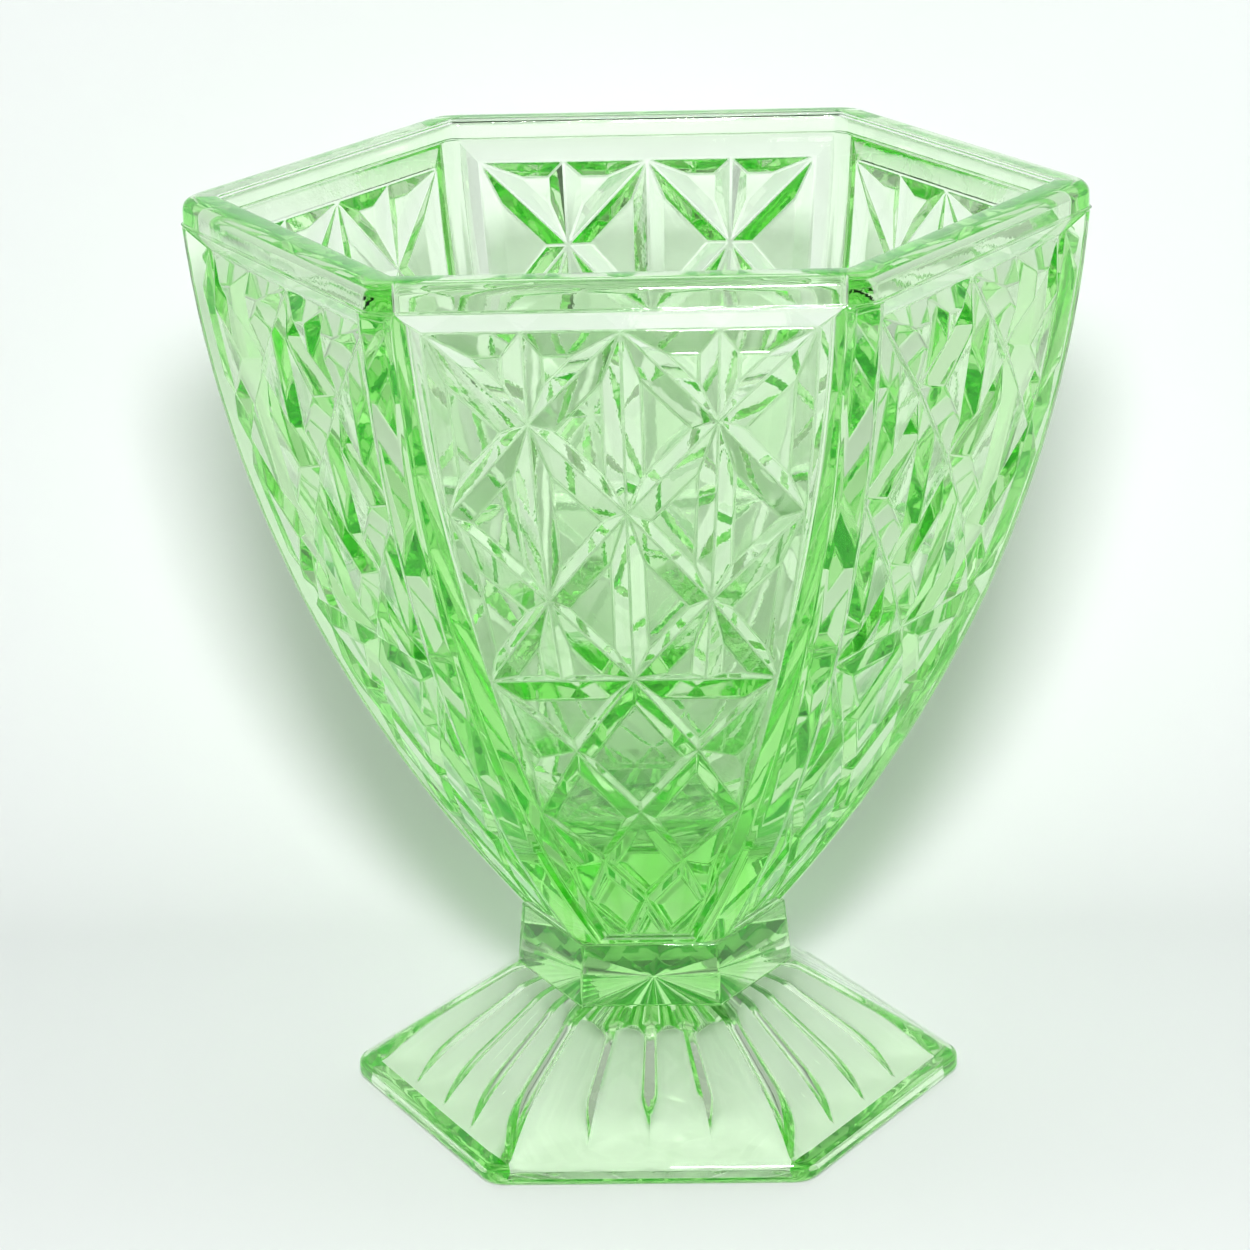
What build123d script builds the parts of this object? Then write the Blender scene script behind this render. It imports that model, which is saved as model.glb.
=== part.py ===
from build123d import *
from math import cos, hypot, radians, sqrt, tan
import os

# A footed hexagonal bowl in pressed glass: a flaring bowl with a star-and-diamond
# relief on each of its six faces, a short solid stem block and a sloping, rayed foot.
# Millimetres, +Z up. The origin is the centre of the foot, on the surface it rests on.
# One bowl face looks along -Y, so two of the hexagon's corners lie on the X axis.

# ---- driving dimensions -------------------------------------------------------------
HEIGHT = 120.0             # foot to rim
FACES = 6

SHOULDER_HEIGHT = 116.4    # where the flared body ends and the plain rim band begins
SHOULDER_APOTHEM = 49.8    # middle of the axis to the middle of a face, at the shoulder
BOWL_BASE_HEIGHT = 24.5    # where the bowl meets the stem block
BOWL_BASE_APOTHEM = 15.0
FACE_ARC_RADIUS = 172.0    # every face is one arc from the bowl base to the shoulder
CORNER_FLAT = 3.4          # width of the flat that replaces each vertical corner

BAND_STEP = 0.4            # the rim band stands this far inside the shoulder
RIM_WALL = 4.6             # thickness of the rim band
RIM_OUTER_ROUND = 1.7      # rounding of the rim's outer and inner top edges
RIM_INNER_ROUND = 1.0
MID_HEIGHT = 80.0
MID_WALL = 6.2             # thickness of the wall at that height, measured level
WALL_FOOT = (21.0, 47.3)   # apothem and height where the inner wall starts to turn in
WALL_TURN = (16.8, 43.2)   # half way round that turn
FLOOR_EDGE = (10.0, 41.0)  # where it has become the flat inner floor

RECESS = 0.7               # how far each patterned panel lies behind its frame
ROW_HEIGHTS = [114.2, 101.9, 90.3, 78.6, 67.4, 56.8, 47.2, 39.0, 32.4, 25.8]
STAR_ROWS = 4              # stars fill the gaps down to this row, plain diamonds below
GROOVE_SHARE = 0.076       # groove depth as a share of the panel's half width
GROOVE_SPREAD = 1.6        # half the width of a V groove for each mm of its depth
SIDE_BEVEL = 0.5           # lean of the panel's side walls, mm outwards for each mm up
TOP_BEVEL = 0.85
BOTTOM_BEVEL = 0.4

STEM_BASE_HEIGHT = 16.2
STEM_BASE_APOTHEM = 15.7
FOOT_APOTHEM = 34.9
FOOT_CORNER_ROUND = 3.5    # plan rounding of the foot's corners
FOOT_EDGE = 2.8            # height of the foot's outer edge
FOOT_EDGE_ROUND = 0.9
HOLLOW_APOTHEM = 31.0      # the hollow under the foot, at the resting face
HOLLOW_SHOULDER = (16.0, 12.2)   # apothem and height where its slope eases
HOLLOW_CROWN = 15.6        # height of the middle of the hollow
RAYS = 24
RAY_STATIONS = [(4.0, 0.15), (16.0, 0.7), (25.0, 1.2), (29.6, 0.02)]   # apothem, depth
RAY_SPREAD = 1.3           # half the width of a ray for each mm of its depth


# ---- the arc of a face --------------------------------------------------------------
def face_arc_centre():
    """Apothem and height of the centre of the arc from the bowl base to the shoulder."""
    rise = SHOULDER_HEIGHT - BOWL_BASE_HEIGHT
    run = SHOULDER_APOTHEM - BOWL_BASE_APOTHEM
    half_chord = hypot(rise, run) / 2
    inward = sqrt(FACE_ARC_RADIUS ** 2 - half_chord ** 2) / (2 * half_chord)
    middle_apothem = (SHOULDER_APOTHEM + BOWL_BASE_APOTHEM) / 2
    middle_height = (SHOULDER_HEIGHT + BOWL_BASE_HEIGHT) / 2
    return middle_apothem - inward * rise, middle_height + inward * run


ARC_APOTHEM, ARC_HEIGHT = face_arc_centre()


def apothem(height):
    """Distance from the axis to the middle of a face at a height."""
    return ARC_APOTHEM + sqrt(FACE_ARC_RADIUS ** 2 - (height - ARC_HEIGHT) ** 2)


def corner_radius(height):
    return apothem(height) / cos(radians(30))


def half_panel(height):
    """Half the width of the patterned panel: the frame narrows a little going down."""
    return 0.456 * corner_radius(height) - 2.84


def on_panel(across, height):
    """A point of the recessed panel, across from -1 to 1, on the face that looks along -Y."""
    return Vector(across * half_panel(height), -(apothem(height) - RECESS), height)


def panel_normal(height):
    """The outward direction of the panel at a height."""
    out = (apothem(height) - ARC_APOTHEM) / FACE_ARC_RADIUS
    up = (height - ARC_HEIGHT) / FACE_ARC_RADIUS
    return Vector(0, -out, up)


# ---- small helpers ------------------------------------------------------------------
def solid_from(points, faces):
    """A flat-sided solid from its corner points and the corners of each side."""
    sides = [Face(Wire.make_polygon([points[i] for i in face])) for face in faces]
    return Solid(Shell(sides))


def v_groove(start, end, normal, start_depth, end_depth, left=GROOVE_SPREAD, right=GROOVE_SPREAD):
    """The glass a V groove takes away, from start to end. Its bottom edge lies below the
    two points and its sides lean out to the left and right, on past the surface."""
    above = 3.0
    along = (end - start).normalized()
    out = (normal - along * normal.dot(along)).normalized()
    side = along.cross(out)
    corners = []
    for point, depth in ((start, start_depth), (end, end_depth)):
        reach = depth + above
        corners.append(point - out * depth)
        corners.append(point + out * above - side * (reach * left))
        corners.append(point + out * above + side * (reach * right))
    return solid_from(corners, [(0, 1, 2), (3, 5, 4), (0, 3, 4, 1), (1, 4, 5, 2), (2, 5, 3, 0)])


def wedge(reach, height):
    """A sixth of the space around the axis, about the face that looks along -Y."""
    half = reach * tan(radians(30))
    return extrude(make_face(Polyline((0, 0), (half, -reach), (-half, -reach), close=True)), height)


def six_times(sector):
    """Turn one sixth about the axis and join the copies."""
    first, *others = [sector.rotate(Axis.Z, 60 * i) for i in range(FACES)]
    return first.fuse(*others)


# ---- the bowl -----------------------------------------------------------------------
def bowl_section():
    """The wall, floor and rim cut through the middle of a face: (-apothem, height)."""
    band = SHOULDER_APOTHEM - BAND_STEP
    inner = band - RIM_WALL
    middle = (SHOULDER_HEIGHT + BOWL_BASE_HEIGHT) / 2
    in_top = (-inner, HEIGHT - RIM_INNER_ROUND)
    in_middle = (-(apothem(MID_HEIGHT) - MID_WALL), MID_HEIGHT)
    in_low, in_turn, in_floor = ((-out, height) for out, height in (WALL_FOOT, WALL_TURN, FLOOR_EDGE))
    turn = 1 - cos(radians(45))
    with BuildSketch(Plane.YZ) as section:
        with BuildLine():
            Line((0, BOWL_BASE_HEIGHT), (-BOWL_BASE_APOTHEM, BOWL_BASE_HEIGHT))
            ThreePointArc((-BOWL_BASE_APOTHEM, BOWL_BASE_HEIGHT), (-apothem(middle), middle),
                          (-SHOULDER_APOTHEM, SHOULDER_HEIGHT))
            Polyline((-SHOULDER_APOTHEM, SHOULDER_HEIGHT), (-band, SHOULDER_HEIGHT),
                     (-band, HEIGHT - RIM_OUTER_ROUND))
            ThreePointArc((-band, HEIGHT - RIM_OUTER_ROUND),
                          (-band + turn * RIM_OUTER_ROUND, HEIGHT - turn * RIM_OUTER_ROUND),
                          (-band + RIM_OUTER_ROUND, HEIGHT))
            Line((-band + RIM_OUTER_ROUND, HEIGHT), (-inner - RIM_INNER_ROUND, HEIGHT))
            ThreePointArc((-inner - RIM_INNER_ROUND, HEIGHT),
                          (-inner - turn * RIM_INNER_ROUND, HEIGHT - turn * RIM_INNER_ROUND), in_top)
            ThreePointArc(in_top, in_middle, in_low)
            ThreePointArc(in_low, in_turn, in_floor)
            Polyline(in_floor, (0, FLOOR_EDGE[1]), (0, BOWL_BASE_HEIGHT))
        make_face()
    return section.sketch


def corner_cut():
    """What the flat takes off one vertical corner, for the half of it inside a sector."""
    inset = CORNER_FLAT / 2 * tan(radians(30))
    low, high = BOWL_BASE_HEIGHT, SHOULDER_HEIGHT
    middle = (low + high) / 2
    flat_low, flat_middle, flat_high = (-(corner_radius(z) - inset) for z in (low, middle, high))
    band = flat_high + BAND_STEP / cos(radians(30))
    outside = -SHOULDER_APOTHEM * 1.5
    with BuildSketch(Plane.YZ) as section:
        with BuildLine():
            ThreePointArc((flat_low, low), (flat_middle, middle), (flat_high, high))
            Polyline((flat_high, high), (band, high), (band, HEIGHT), (outside, HEIGHT),
                     (outside, low), (flat_low, low))
        make_face()
    return extrude(section.sketch, CORNER_FLAT, both=True)


def panel_mould():
    """The block that one patterned panel is sunk with: its walls lean out as bevels, and
    everything cut into the panel stays inside it."""
    points = []
    for row, z in enumerate(ROW_HEIGHTS):
        normal = panel_normal(z)
        upward = Vector(0, -normal.Z, -normal.Y)
        depth = RECESS + GROOVE_SHARE * half_panel(z)
        for level in (-depth - 0.4, 3.0):
            lean = depth + level
            shift = {0: TOP_BEVEL * lean, len(ROW_HEIGHTS) - 1: -BOTTOM_BEVEL * lean}.get(row, 0)
            middle = Vector(0, -apothem(z), z) + normal * level + upward * shift
            half = half_panel(z) + 0.3 + SIDE_BEVEL * lean
            points += [middle - Vector(half, 0, 0), middle + Vector(half, 0, 0)]
    last = 4 * (len(ROW_HEIGHTS) - 1)
    faces = [(0, 1, 3, 2), (last, last + 2, last + 3, last + 1)]
    for i in range(0, last, 4):
        j = i + 4
        faces += [(i, j, j + 1, i + 1), (i + 2, i + 3, j + 3, j + 2)]
        faces += [(i, i + 2, j + 2), (i, j + 2, j), (i + 1, j + 1, j + 3), (i + 1, j + 3, i + 3)]
    return solid_from(points, faces)


def outside_of_floor():
    """Everything in front of the curved floor of a panel."""
    low, high = BOWL_BASE_HEIGHT - 3, SHOULDER_HEIGHT + 5
    floor = [(-(apothem(z) - RECESS), z) for z in (low, (low + high) / 2, high)]
    with BuildSketch(Plane.YZ) as outside:
        with BuildLine():
            ThreePointArc(*floor)
            Polyline(floor[2], (-2 * SHOULDER_APOTHEM, high), (-2 * SHOULDER_APOTHEM, low), floor[0])
        make_face()
    return extrude(outside.sketch, SHOULDER_APOTHEM, both=True)


def groove_between(across_start, row_start, across_end, row_end, left=GROOVE_SPREAD, right=GROOVE_SPREAD):
    """One groove of the panel between two points of its grid."""
    z_start, z_end = ROW_HEIGHTS[row_start], ROW_HEIGHTS[row_end]
    normal = panel_normal((z_start + z_end) / 2)
    return v_groove(on_panel(across_start, z_start), on_panel(across_end, z_end), normal,
                    GROOVE_SHARE * half_panel(z_start), GROOVE_SHARE * half_panel(z_end), left, right)


def diagonal_grooves():
    """The lattice: both diagonals between every two rows, swapping from row to row."""
    grooves = []
    for row in range(len(ROW_HEIGHTS) - 1):
        for edge, inside in ((-1, -0.5), (0, -0.5), (0, 0.5), (1, 0.5)):
            start, end = (edge, inside) if row % 2 == 0 else (inside, edge)
            grooves.append(groove_between(start, row, end, row + 1))
    return grooves


def upright_grooves():
    """The uprights that turn the lattice crossings into eight-pointed stars."""
    return [groove_between(across, row, across, row + 1)
            for row in range(STAR_ROWS) for across in (-0.5, 0, 0.5)]


def border_grooves():
    """The grooves along the panel's sides and top, and the level one that ends the stars."""
    grooves = [groove_between(-1, 0, 1, 0), groove_between(-1, STAR_ROWS, 1, STAR_ROWS, left=0.8)]
    for row in range(len(ROW_HEIGHTS) - 1):
        inner = GROOVE_SPREAD if row < STAR_ROWS else 0.8
        grooves.append(groove_between(-1, row, -1, row + 1, left=inner))
        grooves.append(groove_between(1, row, 1, row + 1, right=inner))
    return grooves


def build_bowl():
    sector = extrude(bowl_section(), SHOULDER_APOTHEM, both=True) & wedge(2 * SHOULDER_APOTHEM, HEIGHT)
    sector -= corner_cut().rotate(Axis.Z, 30)
    sector -= corner_cut().rotate(Axis.Z, -30)
    mould = panel_mould()
    sector -= mould & outside_of_floor()
    for groove in diagonal_grooves() + upright_grooves() + border_grooves():
        sector = sector.cut(mould & groove)
    return six_times(sector.solid())


# ---- the stem block -----------------------------------------------------------------
def build_stem():
    """A solid hexagonal block, a little wider where it meets the foot."""
    rise = BOWL_BASE_HEIGHT - STEM_BASE_HEIGHT
    with BuildSketch(Plane.YZ) as section:
        with BuildLine():
            Polyline((0, STEM_BASE_HEIGHT), (-STEM_BASE_APOTHEM, STEM_BASE_HEIGHT),
                     (-BOWL_BASE_APOTHEM, BOWL_BASE_HEIGHT), (0, BOWL_BASE_HEIGHT), close=True)
        make_face()
    sector = extrude(section.sketch, STEM_BASE_APOTHEM, both=True) & wedge(FOOT_APOTHEM, BOWL_BASE_HEIGHT)
    return six_times(sector.solid())


# ---- the foot -----------------------------------------------------------------------
def build_foot():
    """The sloping foot: a rounded edge, a flat rest and a rayed hollow underneath."""
    turn = 1 - cos(radians(45))
    edge, ease = FOOT_APOTHEM, FOOT_EDGE_ROUND
    with BuildSketch(Plane.YZ) as section:
        with BuildLine():
            Polyline((0, HOLLOW_CROWN), (-HOLLOW_SHOULDER[0], HOLLOW_SHOULDER[1]),
                     (-HOLLOW_APOTHEM, 0), (-edge + ease, 0))
            ThreePointArc((-edge + ease, 0), (-edge + turn * ease, turn * ease), (-edge, ease))
            Line((-edge, ease), (-edge, FOOT_EDGE - ease))
            ThreePointArc((-edge, FOOT_EDGE - ease), (-edge + turn * ease, FOOT_EDGE - turn * ease / 2),
                          (-edge + ease, FOOT_EDGE + ease / 4))
            Polyline((-edge + ease, FOOT_EDGE + ease / 4), (-STEM_BASE_APOTHEM, STEM_BASE_HEIGHT),
                     (0, STEM_BASE_HEIGHT), (0, HOLLOW_CROWN))
        make_face()
    sector = extrude(section.sketch, FOOT_APOTHEM, both=True) & wedge(2 * FOOT_APOTHEM, HEIGHT)
    foot = six_times(sector.solid())
    plan = RegularPolygon(FOOT_APOTHEM / cos(radians(30)), FACES)
    foot &= extrude(fillet(plan.vertices(), FOOT_CORNER_ROUND), STEM_BASE_HEIGHT)
    return foot.solid().cut(*[groove for i in range(RAYS) for groove in ray_grooves(i)])


def ray_grooves(index):
    """One ray under the foot: it deepens outwards from the middle and runs out to a point."""
    turn = 360 / RAYS * index
    off_face = (turn + 30) % 60 - 30
    stretch = 1 / cos(radians(off_face))
    slope = HOLLOW_SHOULDER[1] / (HOLLOW_APOTHEM - HOLLOW_SHOULDER[0])

    def under(apothem_here):
        if apothem_here > HOLLOW_SHOULDER[0]:
            height = (HOLLOW_APOTHEM - apothem_here) * slope
        else:
            drop = (HOLLOW_CROWN - HOLLOW_SHOULDER[1]) / HOLLOW_SHOULDER[0]
            height = HOLLOW_CROWN - drop * apothem_here
        return Vector(0, -apothem_here * stretch, height)

    down = Vector(0, 0, -1)
    grooves = []
    for (start, start_depth), (end, end_depth) in zip(RAY_STATIONS, RAY_STATIONS[1:]):
        groove = v_groove(under(start), under(end), down, start_depth, end_depth, RAY_SPREAD, RAY_SPREAD)
        grooves.append(groove.rotate(Axis.Z, turn))
    return grooves


# ---- export -------------------------------------------------------------------------
os.makedirs("parts", exist_ok=True)
for node, build in (("bowl", build_bowl), ("stem", build_stem), ("foot", build_foot)):
    shape = build()
    export_step(shape, f"parts/{node}.step")
    box = shape.bounding_box()
    print(node, "solids", len(shape.solids()), "faces", len(shape.faces()), "valid", shape.is_valid,
          [round(v, 2) for v in (*box.min, *box.max)], "volume", round(shape.volume))
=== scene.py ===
# %% Load the frame
from math import cos, radians, sin, tan

import bmesh
import bpy
import numpy as np
from mathutils import Matrix, Vector


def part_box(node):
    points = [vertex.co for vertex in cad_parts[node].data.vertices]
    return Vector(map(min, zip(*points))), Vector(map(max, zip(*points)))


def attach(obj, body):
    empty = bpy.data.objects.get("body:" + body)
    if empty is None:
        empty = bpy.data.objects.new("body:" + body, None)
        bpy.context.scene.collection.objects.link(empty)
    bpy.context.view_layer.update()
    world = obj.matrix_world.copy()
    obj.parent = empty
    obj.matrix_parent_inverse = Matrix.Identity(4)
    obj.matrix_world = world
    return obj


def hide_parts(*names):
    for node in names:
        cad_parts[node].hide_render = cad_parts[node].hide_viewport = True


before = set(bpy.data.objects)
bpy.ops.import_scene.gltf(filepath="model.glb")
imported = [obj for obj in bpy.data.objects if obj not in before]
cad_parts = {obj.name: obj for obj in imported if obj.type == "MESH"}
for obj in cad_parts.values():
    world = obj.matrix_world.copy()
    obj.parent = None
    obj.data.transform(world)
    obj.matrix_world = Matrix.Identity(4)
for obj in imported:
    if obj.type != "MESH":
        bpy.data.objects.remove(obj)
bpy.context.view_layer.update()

# %% [markdown]
# The object is a footed bowl of pressed uranium glass. It came out of its mould in one
# piece, and its three regions are the bowl, the short stem block and the rayed foot.
# Glass hides nothing: light goes through the front wall, the back wall and the floor
# before it reaches the eye, so every surface, inside and out, has to be a clean, closed
# mesh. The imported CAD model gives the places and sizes. Each region is then worked out
# again here as a surface in numpy, because a formula gives long even faces and crisp
# edges, where a mesh copied from CAD would carry small uneven triangles into the glass.

# %% Driving sizes, in metres
MM = 0.001
bowl_low, bowl_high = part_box("bowl")
stem_low, stem_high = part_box("stem")
_, foot_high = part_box("foot")

RIM_HEIGHT = bowl_high[2]
BASE_HEIGHT = bowl_low[2]                   # where the bowl meets the stem block
SHOULDER_APOTHEM = bowl_high[1]             # axis to the middle of a face, at the shoulder
SHOULDER_HEIGHT = RIM_HEIGHT - 3.6 * MM     # the flared body ends, the rim band begins
BASE_APOTHEM = stem_high[1] - 0.7 * MM
FACE_ARC_RADIUS = 172 * MM                  # each face is one arc from base to shoulder
CORNER_FLAT = 3.4 * MM                      # width of the flat on each upright corner
COS30, TAN30 = cos(radians(30)), tan(radians(30))
SOFT = 1 - cos(radians(45))                 # how far a round's middle stands in, as a share

rise, run = SHOULDER_HEIGHT - BASE_HEIGHT, SHOULDER_APOTHEM - BASE_APOTHEM
half_chord = np.hypot(rise, run) / 2
inward = np.sqrt(FACE_ARC_RADIUS ** 2 - half_chord ** 2) / (2 * half_chord)
ARC_APOTHEM = (SHOULDER_APOTHEM + BASE_APOTHEM) / 2 - inward * rise
ARC_HEIGHT = (SHOULDER_HEIGHT + BASE_HEIGHT) / 2 + inward * run
print("face arc centre", round(ARC_APOTHEM, 4), round(ARC_HEIGHT, 4))

# %% [markdown]
# One face of the bowl is part of a barrel: straight across, and curved from base to
# shoulder. So a point of the relief needs three numbers: how far across the face, how
# high, and how deep below the surface. The next cell turns them into x, y and z. Depth is
# measured square to the curved face, as the mould's cutter would go in.


# %% Points on a face
def apothem(height):
    """Axis to the middle of a face: the arc's centre plus the circle's own half width there."""
    return ARC_APOTHEM + np.sqrt(FACE_ARC_RADIUS ** 2 - (height - ARC_HEIGHT) ** 2)


def on_face(across, height, depth):
    """Points of the face that looks along -Y: go out to the arc, then back in along its normal
    by the depth. The normal is the line from the arc's centre, scaled to length one."""
    across, height, depth = np.broadcast_arrays(across, height, depth)
    out = (apothem(height) - ARC_APOTHEM) / FACE_ARC_RADIUS
    up = (height - ARC_HEIGHT) / FACE_ARC_RADIUS
    return np.stack([across, depth * out - apothem(height), height - depth * up], axis=-1)


def turned(points, angle):
    """Points turned about the upright axis: x and y mixed by the angle's cosine and sine."""
    c, s = np.cos(angle), np.sin(angle)
    x, y, z = np.moveaxis(np.asarray(points, float), -1, 0)
    return np.stack([x * c - y * s, x * s + y * c, z], axis=-1)


# %% [markdown]
# Everything is gathered in a net: arrays of points, and faces that name them by number.
# A piece is made from many nets laid side by side. Points that fall within a micrometre
# of each other are one point, so the seams close and the piece is watertight.


# %% Nets of points and faces
WELD = MM / 1000


class Net:
    """Points and faces of one piece, gathered strip by strip and welded at the end."""

    def __init__(self):
        self.points, self.faces, self.count = [], [], 0

    def add(self, points, faces):
        points = np.asarray(points, float).reshape(-1, 3)
        self.points.append(points)
        self.faces += [[self.count + i for i in face] for face in faces]
        self.count += len(points)

    def grid(self, points, closed=False):
        """A grid of points becomes four-sided faces between each row and the next."""
        rows, columns = points.shape[:2]
        index = np.arange(rows * columns).reshape(rows, columns)
        if closed:
            index = np.hstack([index, index[:, :1]])
        corners = [index[:-1, :-1], index[:-1, 1:], index[1:, 1:], index[1:, :-1]]
        self.add(points, np.stack(corners, axis=-1).reshape(-1, 4).tolist())

    def polygon(self, points):
        self.add(points, [range(len(points))])


def weld(net):
    """One point for all that lie within a micrometre, and no face left with a doubled corner."""
    points = np.concatenate(net.points)
    steps = np.round(points / WELD)
    _, first, same = np.unique(steps, axis=0, return_index=True, return_inverse=True)
    same = same.ravel()
    faces = []
    for face in net.faces:
        loop = [same[i] for i in face]
        loop = [v for i, v in enumerate(loop) if v != loop[i - 1]]
        if len(loop) > 2:
            faces.append(loop)
    return points[first], faces


# %% [markdown]
# A welded net becomes a mesh with its faces turned outwards. Hot glass has no truly sharp
# edge, so a narrow bevel rounds the edges off. The rayed foot is the exception: its surface
# is so finely stepped that only its sharpest edges are kept crisp and the rest is smooth.

# %% Finished pieces
MELTED_EDGE = 0.28 * MM         # width of the bevel that rounds an edge
LEAST_MELTED = radians(17)      # edges flatter than this are steps of a round surface
LEAST_SHARP = radians(32)       # without a bevel, edges flatter than this are shaded smooth
JOIN_GAP = MM / 100             # a face within this of a joined height is part of the joint
LEVEL = 0.999                   # and its normal has at least this much of Z in it


def mark_joined(mesh, heights):
    """A value on each face: 1 where it lies level at one of these heights, and 0 elsewhere."""
    middles = np.zeros(len(mesh.polygons) * 3)
    normals = np.zeros(len(mesh.polygons) * 3)
    mesh.polygons.foreach_get("center", middles)
    mesh.polygons.foreach_get("normal", normals)
    off = np.min(abs(middles[2::3, None] - np.array(heights)[None, :]), axis=1)
    touching = (off < JOIN_GAP) & (abs(normals[2::3]) > LEVEL)
    mark = mesh.attributes.new("joined", "FLOAT", "FACE")
    mark.data.foreach_set("value", touching.astype(np.float32))


def melt_edges(piece, width):
    """A bevel of two steps on every edge that isn't part of a round surface, then applied."""
    bevel = piece.modifiers.new("melted edges", "BEVEL")
    bevel.width = width
    bevel.segments = 2
    bevel.limit_method = "ANGLE"
    bevel.angle_limit = LEAST_MELTED
    bevel.use_clamp_overlap = False
    bevel.harden_normals = True
    bpy.context.view_layer.update()
    ready = piece.evaluated_get(bpy.context.evaluated_depsgraph_get())
    piece.data = bpy.data.meshes.new_from_object(ready)
    piece.modifiers.clear()


def glass_piece(name, net, joined=(), edge=MELTED_EDGE):
    """A closed mesh with its faces outwards, its edges melted round by a bevel of the given
    width. Faces at the joined heights touch the next piece, and are marked with a 1."""
    points, faces = weld(net)
    mesh = bpy.data.meshes.new(name)
    mesh.from_pydata(points, [], faces)
    work = bmesh.new()
    work.from_mesh(mesh)
    bmesh.ops.recalc_face_normals(work, faces=work.faces)
    open_edges = sum(not e.is_manifold for e in work.edges)
    volume = work.calc_volume()
    work.to_mesh(mesh)
    work.free()
    mesh.shade_smooth()
    piece = bpy.data.objects.new(name, mesh)
    bpy.context.scene.collection.objects.link(piece)
    if edge:
        melt_edges(piece, edge)
    else:
        mesh.set_sharp_from_angle(angle=LEAST_SHARP)
    mark_joined(piece.data, joined)
    print(name, len(points), "points", len(faces), "faces", open_edges, "open edges",
          round(volume * 1e9), "cubic mm")
    return piece


# %% [markdown]
# Rims, inner walls and the foot are rings: a rounded hexagon carried along a profile.
# Each corner of the hexagon is an arc of a few points, and the sides between are straight.


# %% Rounded hexagons
ARC_STEPS = 6


def ring(reach, height, corner):
    """A level rounded hexagon, as six corners of seven points. An arc's centre lies on the
    corner's line, at (apothem - corner radius) over the cosine of 30 degrees."""
    middle = np.radians(60 * np.arange(6) - 60)[:, None]
    spread = np.radians(np.linspace(-30, 30, ARC_STEPS + 1))[None, :]
    centre = (reach - corner) / COS30
    x = centre * np.cos(middle) + corner * np.cos(middle + spread)
    y = centre * np.sin(middle) + corner * np.sin(middle + spread)
    return np.stack([x, y, np.full_like(x, height)], axis=-1)


def rings(profile):
    """A stack of rings from rows of (apothem, height, corner radius), as one grid."""
    return np.stack([ring(*row).reshape(-1, 3) for row in profile])


def arc(start, middle, end, steps):
    """Points of the circle through three points, evenly spaced from the first to the last."""
    a, b, c = (np.array(p, float) for p in (start, middle, end))
    sides = 2 * np.array([b - a, c - a])
    centre = np.linalg.solve(sides, [b @ b - a @ a, c @ c - a @ a])
    angles = np.unwrap([np.arctan2(*(p - centre)[::-1]) for p in (a, b, c)])
    turn = np.linspace(angles[0], angles[2], steps + 1)[:, None]
    return centre + np.hypot(*(a - centre)) * np.hstack([np.cos(turn), np.sin(turn)])


# %% [markdown]
# The relief on each face is a lattice. Lines cross at nodes, and each line is the bottom
# of a V groove. Between the grooves stand little pyramids: three-sided ones around the
# stars above, four-sided ones, the diamonds, below, all with flat tops. A pyramid is made
# from its groove lines and a smaller copy of their outline, shrunk towards the centre of
# the circle that touches every side. That one rule gives all of the pattern.

# %% Sizes of the relief
ROW_HEIGHTS = np.array([113.4, 101.9, 90.3, 78.6, 67.4, 56.8, 47.2, 39.0, 32.4, 25.8]) * MM
STAR_ROWS = 4                 # stars down to this row, plain diamonds below it
PANEL_SHARE = 0.456           # the panel's half width is this share of the corner's reach,
PANEL_MARGIN = 3.3 * MM       # less this margin for the plain frame
RECESS = 0.15 * MM            # the pyramids' tops lie this far behind the plain frame
GROOVE_SHARE = 0.088          # depth of a groove as a share of the panel's half width
GROOVE_SPREAD = 1.15          # a pyramid's sides lean in by this for each bit they rise
LEAST_TOP = 0.05              # the smallest a top may be, as a share of the outline below it
SIDE_LEAN = 1.4               # the panel's side walls lean out by this for each bit of depth
LOW_LEAN = 0.4                # and its lowest wall, which stands steeper, by this
FLOOR_STEPS = 3               # levels between two rows, to follow the arc
LEVELS = np.unique(np.concatenate([np.linspace(a, b, FLOOR_STEPS + 1)
                                   for a, b in zip(ROW_HEIGHTS[1:], ROW_HEIGHTS)]))


def half_panel(height):
    """Half the width of the patterned panel: a share of the corner's reach, less a margin."""
    return PANEL_SHARE * apothem(height) / COS30 - PANEL_MARGIN


def groove_depth(height):
    """How deep a groove's bottom lies below the face: deeper where the panel is wider."""
    return RECESS + GROOVE_SHARE * half_panel(height)


def half_opening(height):
    """Half the width of the panel's mouth, wider than its floor by the lean of the walls."""
    return half_panel(height) + SIDE_LEAN * groove_depth(height)


def half_face(height):
    """The middle of a face to the edge of the flat on its corner."""
    return apothem(height) * TAN30 - CORNER_FLAT / 2 / COS30


# %% Outlines between the grooves
def star_outlines():
    """Triangles around the stars: one point at a node, and a side on the next upright."""
    found = []
    for row in range(STAR_ROWS + 1):
        nodes = (-1, 0, 1) if row % 2 == 0 else (-0.5, 0.5)
        above, below = max(row - 1, 0), min(row + 1, STAR_ROWS)
        for node in nodes:
            for side in (node - 0.5, node + 0.5):
                if abs(side) <= 1:
                    found.append([(node, row), (side, above), (side, below)])
    return found


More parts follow.
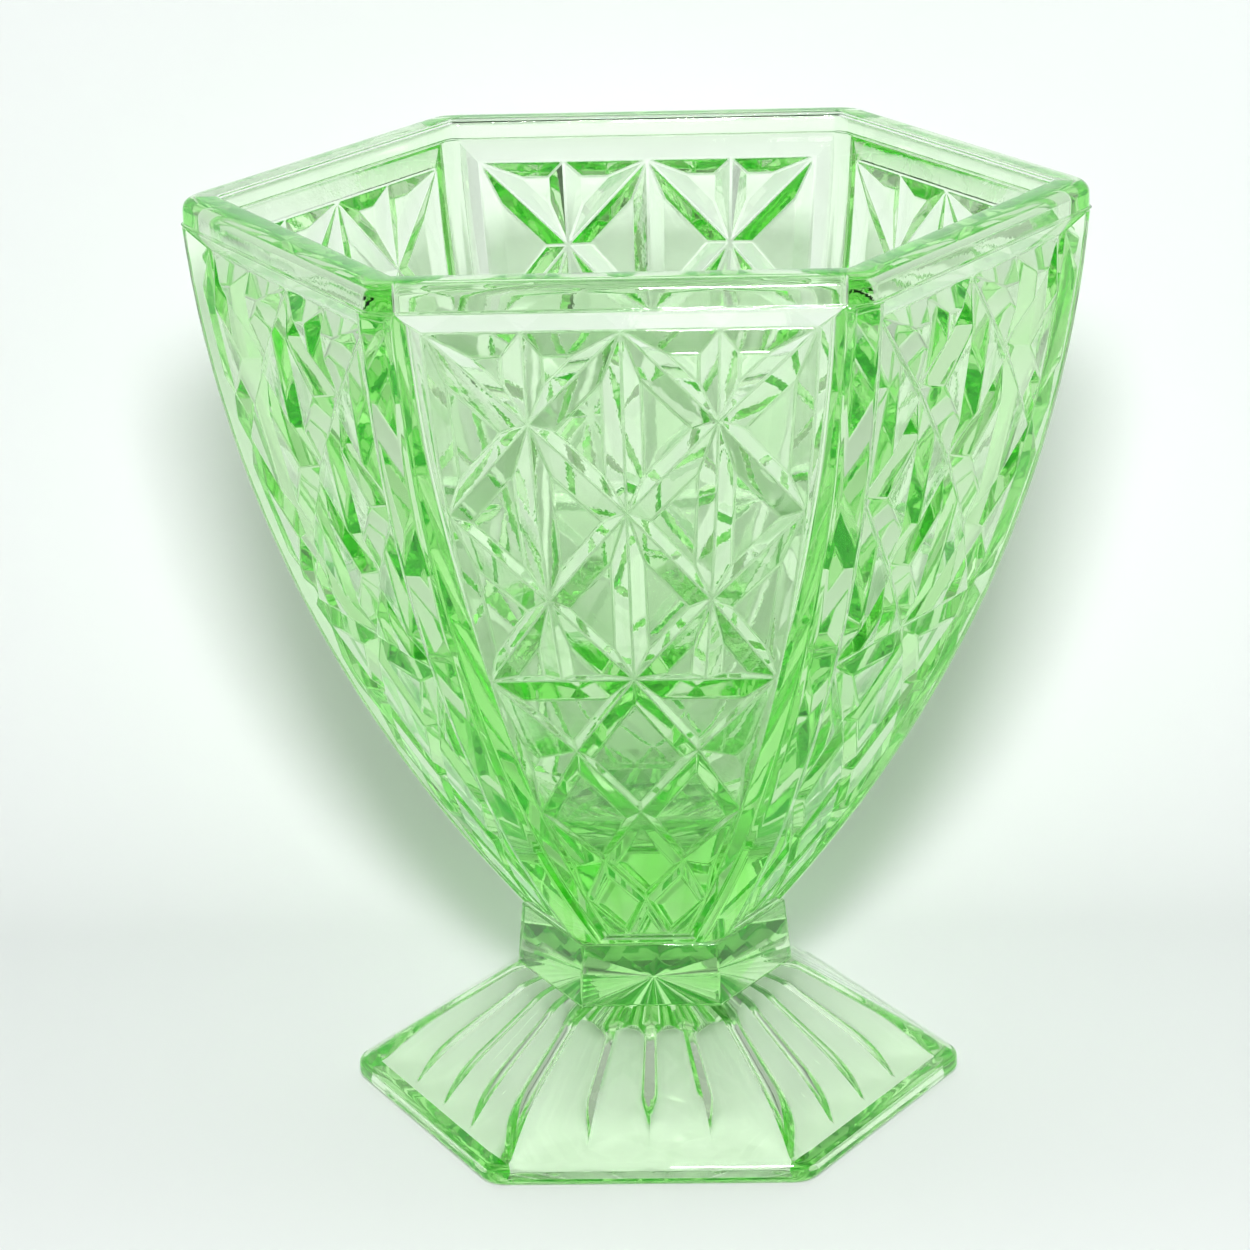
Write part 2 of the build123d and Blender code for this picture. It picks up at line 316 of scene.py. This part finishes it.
def diamond_outlines():
    """Diamonds below the stars, cut off where they meet the panel's edges."""
    last = len(ROW_HEIGHTS) - 1
    found = []
    for row in range(STAR_ROWS, last + 1):
        for middle in (-0.5, 0.5) if row % 2 == 0 else (-1, 0, 1):
            corners = [(middle, row - 1), (middle + 0.5, row),
                       (middle, row + 1), (middle - 0.5, row)]
            if middle in (-1, 1):
                corners[1 if middle == 1 else 3] = (middle, row)
            if row in (STAR_ROWS, last):
                corners[0 if row == STAR_ROWS else 2] = (middle, row)
            found.append(corners)
    return found


print(len(star_outlines()), "star pyramids and", len(diamond_outlines()), "diamonds on a face")


# %% One pyramid
def edge_points(start, end):
    """The points of one groove line. Upright lines follow the arc level by level."""
    (across, row), (across_end, row_end) = start, end
    z, z_end = ROW_HEIGHTS[row], ROW_HEIGHTS[row_end]
    if across == across_end:
        between = LEVELS[(LEVELS > min(z, z_end) + MM / 10) & (LEVELS < max(z, z_end) - MM / 10)]
        heights = np.concatenate([[z], between if z_end > z else between[::-1]])
    else:
        heights = np.array([z])
    return np.stack([across * half_panel(heights), heights], axis=-1)


def inner_circle(outline):
    """Centre and radius of the circle that touches the sides: the corners' average, weighted
    by the side opposite in a triangle, and plain in a diamond."""
    sides = np.roll(outline, -1, axis=0) - outline
    lengths = np.hypot(*sides.T)
    if len(outline) == 3:
        centre = (lengths[[1, 2, 0]][:, None] * outline).sum(axis=0) / lengths.sum()
    else:
        centre = outline.mean(axis=0)
    x, y = (outline - centre).T
    doubled = abs(sides[:, 0] * y - sides[:, 1] * x)
    return centre, (doubled / lengths).min()


def true_corners(outline):
    """The corners where the outline turns: there the triangle of three points has an area."""
    before = outline - np.roll(outline, 1, axis=0)
    after = np.roll(outline, -1, axis=0) - outline
    doubled = abs(before[:, 0] * after[:, 1] - before[:, 1] * after[:, 0])
    return outline[doubled > WELD * MM]


def add_pyramid(net, corners):
    """Walls from the groove lines up to the shrunken outline, and its top."""
    kept = [c for i, c in enumerate(corners) if c != corners[i - 1]]
    places = [(across, ROW_HEIGHTS[row]) for across, row in kept]
    outline = np.array([(across * half_panel(z), z) for across, z in places])
    centre, radius = inner_circle(true_corners(outline))
    depth = groove_depth(centre[1]) - RECESS
    shrink = max(1 - GROOVE_SPREAD * depth / radius, LEAST_TOP)
    top = centre + shrink * (outline - centre)
    tops = on_face(top[:, 0], top[:, 1], RECESS)
    for i, start in enumerate(kept):
        j = (i + 1) % len(kept)
        line = np.vstack([edge_points(start, kept[j]), outline[j]])
        low = on_face(line[:, 0], line[:, 1], groove_depth(line[:, 1]))
        net.polygon(np.vstack([low, tops[j], tops[i]]))
    net.polygon(tops)


# %% [markdown]
# Around the panel stands the plain frame: a sloping wall up to the face, a narrow margin,
# and the flat that runs down each corner. The panel, its frame and one corner flat make a
# sixth of the body, and six turned copies close the bowl's outside.


# %% A sixth of the bowl's outside
def body_sixth():
    net = Net()
    for corners in star_outlines() + diamond_outlines():
        add_pyramid(net, corners)
    top, low = ROW_HEIGHTS[0], ROW_HEIGHTS[-1]
    mouth_low = low - LOW_LEAN * groove_depth(low)
    tall = np.concatenate([[mouth_low], LEVELS, [SHOULDER_HEIGHT]])
    mouth = half_opening(np.clip(tall, low, top))
    for side in (-1, 1):
        floor = on_face(side * half_panel(LEVELS), LEVELS, groove_depth(LEVELS))
        lip = on_face(side * mouth, tall, 0)
        net.grid(np.stack([floor, lip[1:-1]]))
        margin = on_face(side * half_face(tall), tall, 0)
        net.grid(np.stack([lip, margin]))
        net.polygon([floor[-1], lip[-2], lip[-1]])
        net.polygon([floor[0], lip[1], lip[0]])
    across = np.array([-1, -0.5, 0, 0.5, 1])
    for level, edge in ((top, SHOULDER_HEIGHT), (low, mouth_low)):
        bottom = on_face(across * half_panel(level), level, groove_depth(level))
        net.grid(np.stack([bottom, on_face(across * half_opening(level), edge, 0)]))
    foot_line = [-half_face(BASE_HEIGHT), half_face(BASE_HEIGHT)]
    skirt = np.array([-half_face(mouth_low), *(across * mouth[0]), half_face(mouth_low)])
    net.polygon(np.vstack([on_face(skirt, mouth_low, 0), on_face(foot_line[::-1], BASE_HEIGHT, 0)]))
    flat_levels = np.concatenate([[BASE_HEIGHT], tall])
    right = on_face(half_face(flat_levels), flat_levels, 0)
    left = on_face(-half_face(flat_levels), flat_levels, 0)
    net.grid(np.stack([right, turned(left, radians(60))]))
    return net


print(len(body_sixth().faces), "faces in a sixth of the body")

# %% [markdown]
# Above the shoulder the wall steps back a little and becomes the plain rim band, with its
# upper edges melted round. The profile then goes down inside: a smooth wall to the rounded
# floor, which lies well above the base. The thick glass under it shows the deepest green.

# %% The rim band and the inside
BAND_STEP = 0.4 * MM                      # the band stands this far in from the shoulder
RIM_WALL = 4.6 * MM                       # thickness at the rim
RIM_OUTER_ROUND = 1.7 * MM
RIM_INNER_ROUND = 1.0 * MM
INNER_CORNER = 1.2 * MM                   # radius of the upright corners inside
BAND_CORNER = 3.4 * MM                    # and of those around the rim band
MID_HEIGHT, MID_WALL = 80 * MM, 6.2 * MM  # the wall's thickness part of the way down
WALL_FOOT = (21.0 * MM, 47.3 * MM)        # apothem and height where the wall turns in
WALL_TURN = (16.8 * MM, 43.2 * MM)        # the middle of that turn
FLOOR_EDGE = (10.0 * MM, 41.0 * MM)       # where the level floor begins


def rim_profile():
    """Apothem, height and corner radius: up the band, over the lip, down to the floor."""
    band = SHOULDER_APOTHEM - BAND_STEP
    inner = band - RIM_WALL
    over = arc((band, RIM_HEIGHT - RIM_OUTER_ROUND),
               (band - SOFT * RIM_OUTER_ROUND, RIM_HEIGHT - SOFT * RIM_OUTER_ROUND),
               (band - RIM_OUTER_ROUND, RIM_HEIGHT), steps=6)
    down = arc((inner + RIM_INNER_ROUND, RIM_HEIGHT),
               (inner + SOFT * RIM_INNER_ROUND, RIM_HEIGHT - SOFT * RIM_INNER_ROUND),
               (inner, RIM_HEIGHT - RIM_INNER_ROUND), steps=4)
    wall = arc(down[-1], (apothem(MID_HEIGHT) - MID_WALL, MID_HEIGHT), WALL_FOOT, steps=24)
    turn = arc(WALL_FOOT, WALL_TURN, FLOOR_EDGE, steps=8)
    line = np.vstack([[(band, SHOULDER_HEIGHT)], over, down, wall[1:], turn[1:]])
    corner = np.where(line[:, 0] > inner + RIM_INNER_ROUND + MM / 10, BAND_CORNER, INNER_CORNER)
    return np.column_stack([line, corner])


def build_bowl():
    """Six turned sixths, the rings of the rim and the inside, the ledge between, the base."""
    net = Net()
    points, faces = weld(body_sixth())
    for k in range(6):
        net.add(turned(points, radians(60 * k)), faces)
    profile = rim_profile()
    net.grid(rings(profile), closed=True)
    net.polygon(ring(*profile[-1]).reshape(-1, 3))
    shoulder = ring(*profile[0])
    top = half_opening(ROW_HEIGHTS[0]) * np.array([-1, -0.5, 0, 0.5, 1])
    edge = half_face(SHOULDER_HEIGHT)
    across = np.array([-edge, *top, edge])
    base = []
    for k in range(6):
        angle = radians(60 * k)
        outside = turned(on_face(across, SHOULDER_HEIGHT, 0), angle)
        after = turned(on_face(-edge, SHOULDER_HEIGHT, 0), angle + radians(60))
        before, corner = shoulder[k - 1], shoulder[k]
        net.polygon(np.vstack([outside, corner[:1], before[-1:]]))
        net.polygon(np.vstack([outside[-1:], after[None], corner[::-1]]))
        ends = on_face(np.array([-1, 1]) * half_face(BASE_HEIGHT), BASE_HEIGHT, 0)
        base.append(turned(ends, angle))
    net.polygon(np.vstack(base))
    return glass_piece("glass_bowl", net, joined=[BASE_HEIGHT])


bowl = build_bowl()

# %% [markdown]
# The stem is a plain six-sided block of solid glass. It only has sharp upright corners, a
# little melted, and it is slightly wider where it spreads into the foot.

# %% The stem block
STEM_CORNER = 0.5 * MM


def build_stem():
    """Two rings, one at each end, and a flat face on each."""
    net = Net()
    low = (stem_high[1], stem_low[2], STEM_CORNER)
    high = (BASE_APOTHEM, stem_high[2], STEM_CORNER)
    net.grid(rings([low, high]), closed=True)
    net.polygon(ring(*low).reshape(-1, 3))
    net.polygon(ring(*high).reshape(-1, 3))
    return glass_piece("glass_stem", net, joined=[stem_low[2], stem_high[2]])


stem = build_stem()

# %% [markdown]
# The foot slopes down from the stem to a thin rounded edge. Underneath it is hollow, and
# 24 rays are cut into the hollow like the spokes of a wheel, so they show through the
# clear slope above. Each ray is sharp along its middle and runs out in a soft curve to each
# side, so the glass between two rays is a rounded petal. The rays meet side by side, and
# close to the rim they narrow to points.

# %% The foot
FOOT_CORNER = 3.5 * MM
FOOT_EDGE = 2.8 * MM                      # thickness of the foot at its rim
FOOT_EDGE_ROUND = 0.9 * MM
SLOPE_STEPS = 5
HOLLOW_REACH = 31.0 * MM                  # apothem of the hollow's mouth
HOLLOW_SHOULDER = (16.0 * MM, 12.2 * MM)  # apothem and height where its slope gets gentler
HOLLOW_CROWN = 15.6 * MM                  # height at the middle
CROWN_FLAT = 0.6 * MM                     # apothem of the small flat at the middle
CROWN_ROWS, SLOPE_ROWS = 14, 38           # rings of points inside and outside the shoulder
AFTER_SHOULDER = 0.9 * MM                 # from the shoulder to the first ring outside it
BEFORE_MOUTH = 0.4 * MM                   # from the last ring to the mouth
RAYS = 24
RAY_STEEP = 1.4                           # how steeply a ray's sides start from its middle
RAY_WIDEST = 24.0 * MM                    # where the rays start to narrow
RAY_TIP = 30.2 * MM                       # where they have run out
RAY_SAMPLES = 24                          # points across one ray
LEAST_RAY = 1e-6                          # a ray's share of its width past the tip, so that
                                          # nothing is divided by zero


def hollow():
    """Height over (reach, angle). The plain slope runs up to the crown. A ray of half width w
    adds steep * w / 2 * (1 - distance / w) squared, and distance is square to its middle.
    Past its widest, w is less by the square of the share of the way to the tip."""
    crown = np.linspace(CROWN_FLAT, HOLLOW_SHOULDER[0], CROWN_ROWS)
    outside = HOLLOW_SHOULDER[0] + AFTER_SHOULDER
    slope = np.linspace(outside, HOLLOW_REACH - BEFORE_MOUTH, SLOPE_ROWS)
    reach = np.concatenate([crown, slope, [HOLLOW_REACH]])
    angle = np.radians(np.arange(RAYS * RAY_SAMPLES) * 360 / RAYS / RAY_SAMPLES)
    half_ray = radians(180 / RAYS)
    off_face = (angle + radians(30)) % radians(60) - radians(30)
    off_ray = (angle + half_ray) % (2 * half_ray) - half_ray
    radius = reach[:, None] / np.cos(off_face)[None, :]
    slope_at = [0, HOLLOW_SHOULDER[0], HOLLOW_REACH]
    plain = np.interp(reach, slope_at, [HOLLOW_CROWN, HOLLOW_SHOULDER[1], 0])[:, None]
    distance = np.abs(radius * np.sin(off_ray)[None, :])
    past = np.clip((reach - RAY_WIDEST) / (RAY_TIP - RAY_WIDEST), 0, 1)
    half = radius * sin(half_ray) * np.maximum(1 - past ** 2, LEAST_RAY)[:, None]
    height = plain + RAY_STEEP * half / 2 * np.clip(1 - distance / half, 0, 1) ** 2
    height[-1] = 0
    facing = angle - radians(90)
    return np.stack([radius * np.cos(facing), radius * np.sin(facing), height], axis=-1)


def foot_profile():
    """Apothem, height and corner radius: round the lower edge, round the upper edge, which
    ends a little higher because the slope goes on from there, and up the slope."""
    reach, top = foot_high[1], foot_high[2]
    ease = FOOT_EDGE_ROUND
    under = arc((reach - ease, 0), (reach - SOFT * ease, SOFT * ease), (reach, ease), steps=4)
    over = arc((reach, FOOT_EDGE - ease), (reach - SOFT * ease, FOOT_EDGE - SOFT * ease / 2),
               (reach - ease, FOOT_EDGE + ease / 4), steps=4)
    slope = np.linspace(over[-1], (stem_high[1], top), SLOPE_STEPS + 1)[1:]
    line = np.vstack([under, over, slope])
    ends = [0, len(line) - len(slope) - 1, len(line) - 1]
    corner = np.interp(np.arange(len(line)), ends, [FOOT_CORNER, FOOT_CORNER, STEM_CORNER])
    return np.column_stack([line, corner])


def build_foot():
    """The outside's rings and the top, the hollow, and the face it rests on between them."""
    net = Net()
    profile = foot_profile()
    net.grid(rings(profile), closed=True)
    net.polygon(ring(*profile[-1]).reshape(-1, 3))
    inside = hollow()
    net.grid(inside, closed=True)
    net.polygon(inside[0])
    rest = ring(*profile[0])
    half = ARC_STEPS // 2
    samples = RAYS * RAY_SAMPLES // 6
    mouth = np.roll(inside[-1], samples // 2, axis=0)
    for k in range(6):
        rim = np.vstack([rest[k - 1][half:], rest[k][:half + 1]])
        stretch = mouth[k * samples:(k + 1) * samples]
        stretch = np.vstack([stretch, mouth[((k + 1) * samples) % len(mouth)]])
        net.polygon(np.vstack([rim, stretch[::-1]]))
    return glass_piece("glass_foot", net, joined=[foot_high[2]], edge=0)


foot = build_foot()

# %% [markdown]
# Uranium glass is clear, with a yellow-green cast that comes from its depth: a thin wall is
# nearly white, and the solid base is a strong green. That is absorption, so the colour
# belongs in the volume and not on the surface. Red is taken out about seven times as fast
# as green, and blue ten times. The surface is a glass shader with a faint ripple, because
# pressed glass keeps the skin of its mould even after the flame has polished it. Where two
# regions touch there is no surface in the real glass, so the marked faces are left fully
# transparent. A lamp's light can't find its way through bent glass, so a ray that asks
# whether a lamp is hidden meets a plain tinted surface, and the bowl's shadow is a pale
# green instead of black.

# %% Uranium glass
GLASS_IOR = 1.51
ABSORBED = (1.0, 0.14, 1.4)             # how fast red, green and blue are lost, against red
RED_LOSS = 24.5                         # of red, for each metre of glass
LAMP_PASSED = (0.45, 0.475, 0.445)      # of a lamp's light, at each surface it crosses
WAVE_SIZE, WAVE_HEIGHT = 7 * MM, 0.03 * MM
SKIN_SIZE, SKIN_HEIGHT = 0.8 * MM, 0.0035 * MM


def node(tree, kind, **values):
    """A new node with the given inputs set. An underscore stands for a space in a name."""
    made = tree.nodes.new(kind)
    for key, value in values.items():
        made.inputs[key.replace("_", " ")].default_value = value
    return made


def ripple(tree, place, size, detail, height, base=None):
    """A bump from noise of one size: the surface leans by the noise's slope times height."""
    noise = node(tree, "ShaderNodeTexNoise", Scale=1 / size, Detail=detail, Roughness=0.5)
    tree.links.new(place.outputs["Object"], noise.inputs["Vector"])
    bump = node(tree, "ShaderNodeBump", Strength=1.0, Distance=height)
    tree.links.new(noise.outputs["Fac"], bump.inputs["Height"])
    if base is not None:
        tree.links.new(base.outputs["Normal"], bump.inputs["Normal"])
    return bump


def mixed(tree, share, first, second):
    """One shader where the share is 0, and the other where it is 1."""
    mix = tree.nodes.new("ShaderNodeMixShader")
    tree.links.new(share, mix.inputs[0])
    tree.links.new(first.outputs[0], mix.inputs[1])
    tree.links.new(second.outputs[0], mix.inputs[2])
    return mix


def rippled_glass(tree):
    """Clear glass with two ripples, a slow wave and a fine skin on it."""
    place = tree.nodes.new("ShaderNodeTexCoord")
    wave = ripple(tree, place, WAVE_SIZE, 1.0, WAVE_HEIGHT)
    skin = ripple(tree, place, SKIN_SIZE, 2.0, SKIN_HEIGHT, wave)
    glass = node(tree, "ShaderNodeBsdfGlass", Color=(1, 1, 1, 1), Roughness=0.0, IOR=GLASS_IOR)
    tree.links.new(skin.outputs["Normal"], glass.inputs["Normal"])
    return glass


def uranium_glass():
    """Rippled glass, but nothing where faces are joined, and a plain tint for lamps."""
    material = bpy.data.materials.new("uranium_glass")
    material.use_nodes = True
    tree = material.node_tree
    tree.nodes.clear()
    clear = node(tree, "ShaderNodeBsdfTransparent", Color=(1, 1, 1, 1))
    joined = tree.nodes.new("ShaderNodeAttribute")
    joined.attribute_name = "joined"
    surface = mixed(tree, joined.outputs["Fac"], rippled_glass(tree), clear)
    path = tree.nodes.new("ShaderNodeLightPath")
    lamp = node(tree, "ShaderNodeBsdfTransparent", Color=(*LAMP_PASSED, 1))
    either = mixed(tree, path.outputs["Is Shadow Ray"], surface, lamp)
    strongest = max(ABSORBED)
    kept = [1 - share / strongest for share in ABSORBED]
    depth = node(tree, "ShaderNodeVolumeAbsorption", Color=(*kept, 1), Density=RED_LOSS * strongest)
    output = tree.nodes.new("ShaderNodeOutputMaterial")
    tree.links.new(either.outputs[0], output.inputs["Surface"])
    tree.links.new(depth.outputs[0], output.inputs["Volume"])
    print("uranium glass kept", [round(v, 2) for v in kept], "density", round(RED_LOSS * strongest))
    return material


glass = uranium_glass()
for piece, cad_node in ((bowl, "bowl"), (stem, "stem"), (foot, "foot")):
    piece.data.materials.append(glass)
    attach(piece, "root")
    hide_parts(cad_node)

# %% [markdown]
# The stage is a sheet of white paper that lies flat under the bowl and curves up close
# behind it. Clear glass takes all its light from what is behind it, so the paper must be
# bright and even, and the room in front darker, so that edges still show. The sheet is
# drawn on its front only. From behind it is clear, so the bowl can be seen from every side.

# %% The paper sweep
PAPER_FRONT = -1.2
PAPER_BEND = 0.05             # how far behind the axis the paper starts to rise
PAPER_ROUND = 0.07
PAPER_TOP = 1.0
PAPER_HALF_WIDTH = 1.4
PAPER_DROP = 0.1 * MM         # the foot rests a hair above the paper
PAPER_COLOUR = (0.76, 0.785, 0.78)
BEND_STEPS = 24


def paper_sweep():
    """A straight run, a quarter circle and a straight rise, carried from side to side."""
    turn = np.radians(np.linspace(0, 90, BEND_STEPS + 1))
    back = PAPER_BEND + PAPER_ROUND * np.sin(turn)
    bend = np.column_stack([back, PAPER_ROUND * (1 - np.cos(turn))])
    line = np.vstack([[(PAPER_FRONT, 0)], bend, [(PAPER_BEND + PAPER_ROUND, PAPER_TOP)]])
    sides = np.array([-PAPER_HALF_WIDTH, PAPER_HALF_WIDTH])
    grid = np.zeros((len(line), 2, 3))
    grid[..., 0] = sides
    grid[..., 1] = line[:, :1]
    grid[..., 2] = line[:, 1:] - PAPER_DROP
    net = Net()
    net.grid(grid)
    points, faces = weld(net)
    mesh = bpy.data.meshes.new("paper")
    mesh.from_pydata(points, [], faces)
    mesh.shade_smooth()
    paper = bpy.data.objects.new("paper", mesh)
    bpy.context.scene.collection.objects.link(paper)
    return paper


def paper_white():
    """Dull white on the sheet's front, and nothing on its back."""
    material = bpy.data.materials.new("paper_white")
    material.use_nodes = True
    tree = material.node_tree
    shader = tree.nodes["Principled BSDF"]
    shader.inputs["Base Color"].default_value = (*PAPER_COLOUR, 1)
    shader.inputs["Roughness"].default_value = 0.9
    shader.inputs["Specular IOR Level"].default_value = 0.1
    side = tree.nodes.new("ShaderNodeNewGeometry")
    clear = node(tree, "ShaderNodeBsdfTransparent", Color=(1, 1, 1, 1))
    seen = mixed(tree, side.outputs["Backfacing"], shader, clear)
    tree.links.new(seen.outputs[0], tree.nodes["Material Output"].inputs["Surface"])
    return material


paper = paper_sweep()
paper.data.materials.append(paper_white())
print("paper", len(paper.data.polygons), "faces, bent up behind at", PAPER_BEND, "m")

# %% [markdown]
# The light is that of a small studio. A small softbox just above the lens, the key, lights
# the paper and throws a short soft shadow. A wide, weak one overhead, the wash, evens it
# out. The room itself gives little light. A ray straight from the camera, or one that comes
# out of clear glass, sees it brighter than that, so the glass does not turn black where it
# faces the room.

# %% World and lamps
ROOM_LIGHT = 0.13             # what the room adds to the light on the paper
ROOM_SEEN = 0.5               # how bright it looks from the camera and through the glass
ROOM_COLOUR = (0.97, 1.0, 0.985)


def studio_world():
    """Background strength: from ROOM_LIGHT to ROOM_SEEN by the larger of two marks, 1 for a
    camera ray and 1 for a ray that was last bent or mirrored by a perfectly smooth surface."""
    world = bpy.data.worlds.new("studio")
    world.use_nodes = True
    tree = world.node_tree
    path = tree.nodes.new("ShaderNodeLightPath")
    looked_at = tree.nodes.new("ShaderNodeMath")
    looked_at.operation = "MAXIMUM"
    tree.links.new(path.outputs["Is Camera Ray"], looked_at.inputs[0])
    tree.links.new(path.outputs["Is Singular Ray"], looked_at.inputs[1])
    strength = node(tree, "ShaderNodeMapRange", To_Min=ROOM_LIGHT, To_Max=ROOM_SEEN)
    tree.links.new(looked_at.outputs[0], strength.inputs["Value"])
    background = tree.nodes["Background"]
    background.inputs["Color"].default_value = (*ROOM_COLOUR, 1)
    tree.links.new(strength.outputs[0], background.inputs["Strength"])
    return world


def softbox(name, place, target, width, height, power):
    """A rectangular lamp that faces its target. Sizes are in metres and power in watts."""
    light = bpy.data.lights.new(name, "AREA")
    light.shape = "RECTANGLE"
    light.size, light.size_y, light.energy = width, height, power
    box = bpy.data.objects.new(name, light)
    box.location = place
    box.rotation_euler = (Vector(target) - Vector(place)).to_track_quat("-Z", "Y").to_euler()
    bpy.context.scene.collection.objects.link(box)
    print(name, "lamp", width, "by", height, "m,", power, "W")


bpy.context.scene.world = studio_world()
softbox("key", place=(0.025, -0.478, 0.337), target=(0, 0, 0.07),
        width=0.08, height=0.06, power=3.75)
softbox("wash", place=(0, 0.05, 0.75), target=(0, 0.05, 0),
        width=0.7, height=0.45, power=0.5)

# %% [markdown]
# The camera stands a little above the rim and looks slightly down on the bowl from the
# front, close enough for the rim to open into a wide hexagon. Its place and its three
# angles are given here, and a long lens keeps the sides from spreading.

# %% Camera
CAMERA_PLACE = (0.02161, -0.51354, 0.23089)
CAMERA_YAW = -0.0472          # radians to the right of straight ahead
CAMERA_PITCH = 0.3163         # radians below level
CAMERA_ROLL = -0.0293
LENS, SENSOR = 121.1, 36.0    # focal length and sensor width in millimetres


def place_camera():
    """Forward from yaw and pitch, then right and up, both turned by the roll."""
    forward = Vector((sin(CAMERA_YAW) * cos(CAMERA_PITCH), cos(CAMERA_YAW) * cos(CAMERA_PITCH),
                      -sin(CAMERA_PITCH)))
    level = Vector((cos(CAMERA_YAW), -sin(CAMERA_YAW), 0))
    above = level.cross(forward)
    right = level * cos(CAMERA_ROLL) + above * sin(CAMERA_ROLL)
    up = above * cos(CAMERA_ROLL) - level * sin(CAMERA_ROLL)
    lens = bpy.data.cameras.new("camera")
    lens.lens, lens.sensor_width = LENS, SENSOR
    camera = bpy.data.objects.new("camera", lens)
    axes = Matrix((right, up, -forward)).transposed().to_4x4()
    camera.matrix_world = Matrix.Translation(CAMERA_PLACE) @ axes
    bpy.context.scene.collection.objects.link(camera)
    bpy.context.scene.camera = camera
    print("camera at", CAMERA_PLACE, "with a", LENS, "mm lens")


place_camera()

# %% [markdown]
# Light crosses many surfaces on its way through the bowl, so the renderer may follow it
# further than usual. Plain colour management keeps the paper white.

# %% Light paths and colour
BOUNCES = 48
BRIGHTEST_BOUNCE = 4.0        # a stray brighter than this is clamped, to keep out white specks

scene = bpy.context.scene
scene.cycles.max_bounces = BOUNCES
scene.cycles.glossy_bounces = BOUNCES
scene.cycles.transmission_bounces = BOUNCES
scene.cycles.transparent_max_bounces = BOUNCES
scene.cycles.sample_clamp_indirect = BRIGHTEST_BOUNCE
scene.view_settings.view_transform = "Standard"
print("light may bounce", BOUNCES, "times")
